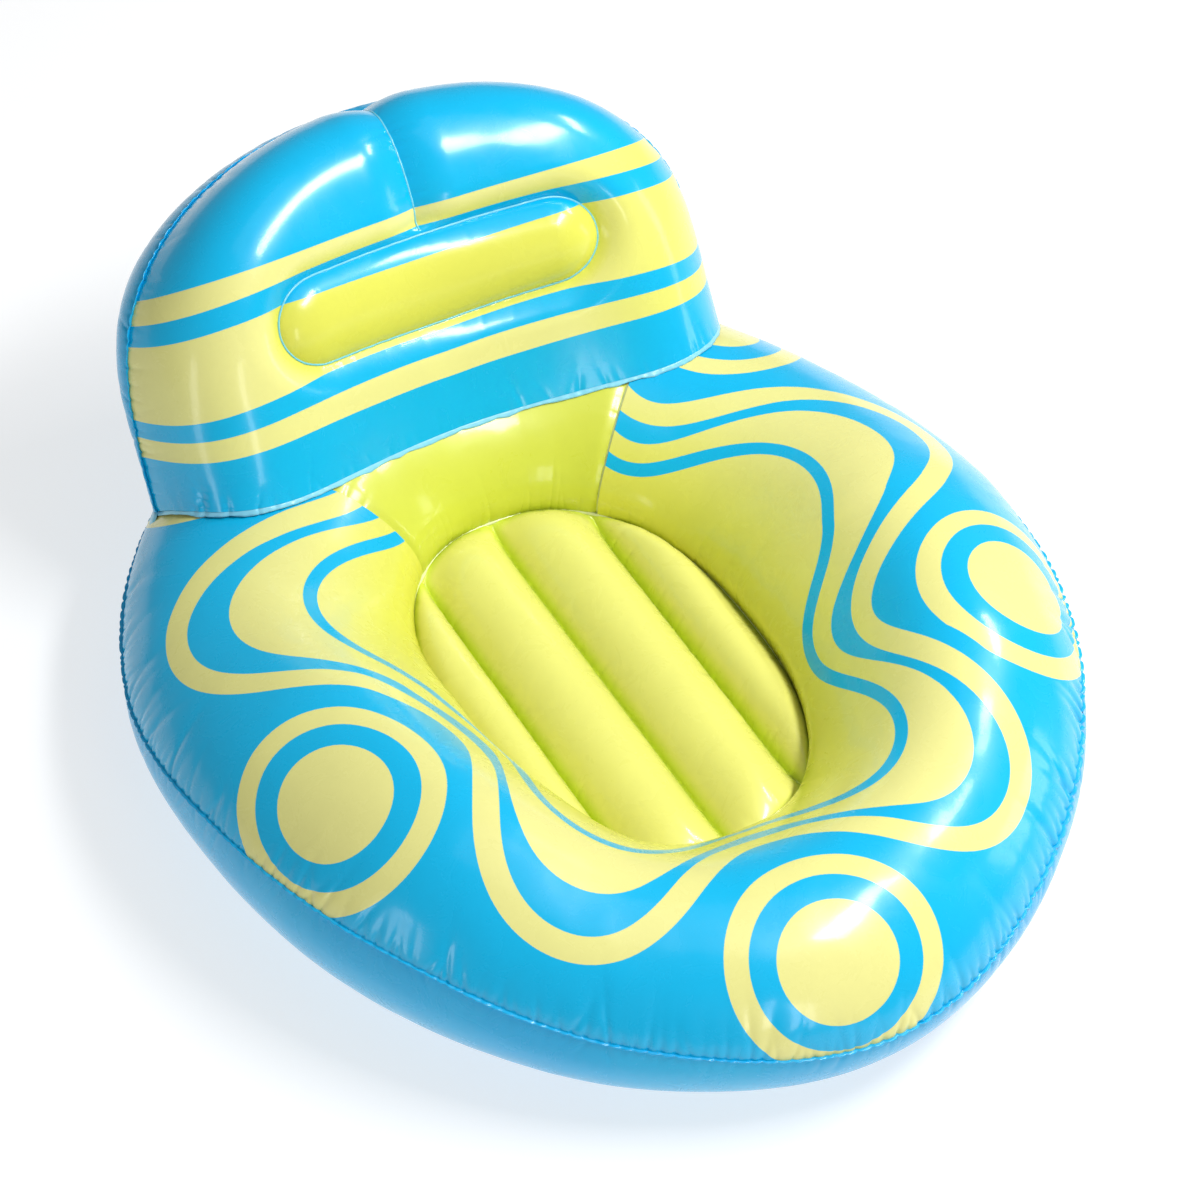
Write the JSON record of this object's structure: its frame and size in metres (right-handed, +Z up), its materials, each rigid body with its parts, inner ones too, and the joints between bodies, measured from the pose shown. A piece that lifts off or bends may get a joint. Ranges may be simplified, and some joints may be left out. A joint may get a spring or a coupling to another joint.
{
  "type": "inflatable pool chair",
  "caption": "Inflatable lounge chair for a pool: a wide ring around a sunken channelled seat, with a leaning padded backrest and headrest.",
  "frame": {"origin": "on the ground plane, under the middle of the chair's outline", "axes": "+Z up, -Y towards the front of the seat, +Y towards the backrest, +X to the right seen from the front"},
  "size_m": [1.119, 1.3728, 0.5379],
  "materials": {
    "ring_print_film": "glossy soft PVC film, cyan blue with a pale yellow and lime print",
    "blue_film": "glossy soft PVC film, plain cyan blue",
    "lime_film": "glossy soft PVC film, plain lime yellow",
    "stripe_film": "glossy soft PVC film, cyan blue with pale yellow stripes across",
    "clear_film": "unprinted translucent PVC film",
    "valve_clear": "moulded translucent soft PVC",
    "valve_white": "moulded white soft PVC"
  },
  "bodies": {
    "root": {"ring_top_panel": "ring_print_film", "ring_rear_inner_panel": "lime_film", "ring_bottom_panel": "blue_film", "floor_top_panel": "lime_film", "floor_bottom_panel": "blue_film", "floor_web_left": "clear_film", "floor_web_centre": "clear_film", "floor_web_right": "clear_film", "backrest_front_panel": "stripe_film", "backrest_rear_panel": "blue_film", "headrest_web": "clear_film", "backrest_centre_web": "clear_film", "ring_valve_flange": "valve_clear", "floor_valve_flange": "valve_clear", "backrest_valve_flange": "valve_clear"},
    "ring_valve_stem": {"ring_valve_stem": "valve_clear"},
    "ring_valve_plug": {"ring_valve_plug": "valve_white"},
    "ring_valve_flap": {"ring_valve_flap": "valve_clear"},
    "floor_valve_stem": {"floor_valve_stem": "valve_clear"},
    "floor_valve_plug": {"floor_valve_plug": "valve_white"},
    "floor_valve_flap": {"floor_valve_flap": "valve_clear"},
    "backrest_valve_stem": {"backrest_valve_stem": "valve_clear"},
    "backrest_valve_plug": {"backrest_valve_plug": "valve_white"},
    "backrest_valve_flap": {"backrest_valve_flap": "valve_clear"}
  },
  "joints": [
    {"name": "ring_valve_push", "type": "slide", "parent": "root", "child": "ring_valve_stem", "axis": [-0.2109, -0.5083, 0.835], "range_m": [0, 0.0065]},
    {"name": "ring_plug_swing", "type": "hinge", "parent": "ring_valve_stem", "child": "ring_valve_plug", "pos_m": [0.21236, 0.45555, 0.01437], "axis": [-0.3184, -0.7719, -0.5503], "range_deg": [0, 150]},
    {"name": "ring_flap_swing", "type": "hinge", "parent": "ring_valve_stem", "child": "ring_valve_flap", "pos_m": [0.20358, 0.44667, 0.03189], "axis": [0.3184, 0.7719, 0.5503], "range_deg": [0, 60], "stiffness_Nm_per_rad": 0.0001},
    {"name": "floor_valve_push", "type": "slide", "parent": "root", "child": "floor_valve_stem", "axis": [0.0887, -0.0023, 0.9961], "range_m": [0, 0.0065]},
    {"name": "floor_plug_swing", "type": "hinge", "parent": "floor_valve_stem", "child": "floor_valve_plug", "pos_m": [0.04, 0.17253, 0.01946], "axis": [0.234, 0.9721, -0.0186], "range_deg": [0, 150]},
    {"name": "floor_flap_swing", "type": "hinge", "parent": "floor_valve_stem", "child": "floor_valve_flap", "pos_m": [0.04641, 0.17138, 0.03997], "axis": [-0.234, -0.9721, 0.0186], "range_deg": [0, 60], "stiffness_Nm_per_rad": 0.0001},
    {"name": "backrest_valve_push", "type": "slide", "parent": "root", "child": "backrest_valve_stem", "axis": [-0.5847, -0.7723, 0.2482], "range_m": [0, 0.0065]},
    {"name": "backrest_plug_swing", "type": "hinge", "parent": "backrest_valve_stem", "child": "backrest_valve_plug", "pos_m": [0.30564, 0.58789, 0.32839], "axis": [0.3216, 0.0601, 0.9449], "range_deg": [0, 150]},
    {"name": "backrest_flap_swing", "type": "hinge", "parent": "backrest_valve_stem", "child": "backrest_valve_flap", "pos_m": [0.29686, 0.5687, 0.3326], "axis": [-0.3216, -0.0601, -0.9449], "range_deg": [0, 60], "stiffness_Nm_per_rad": 0.0001}
  ]
}
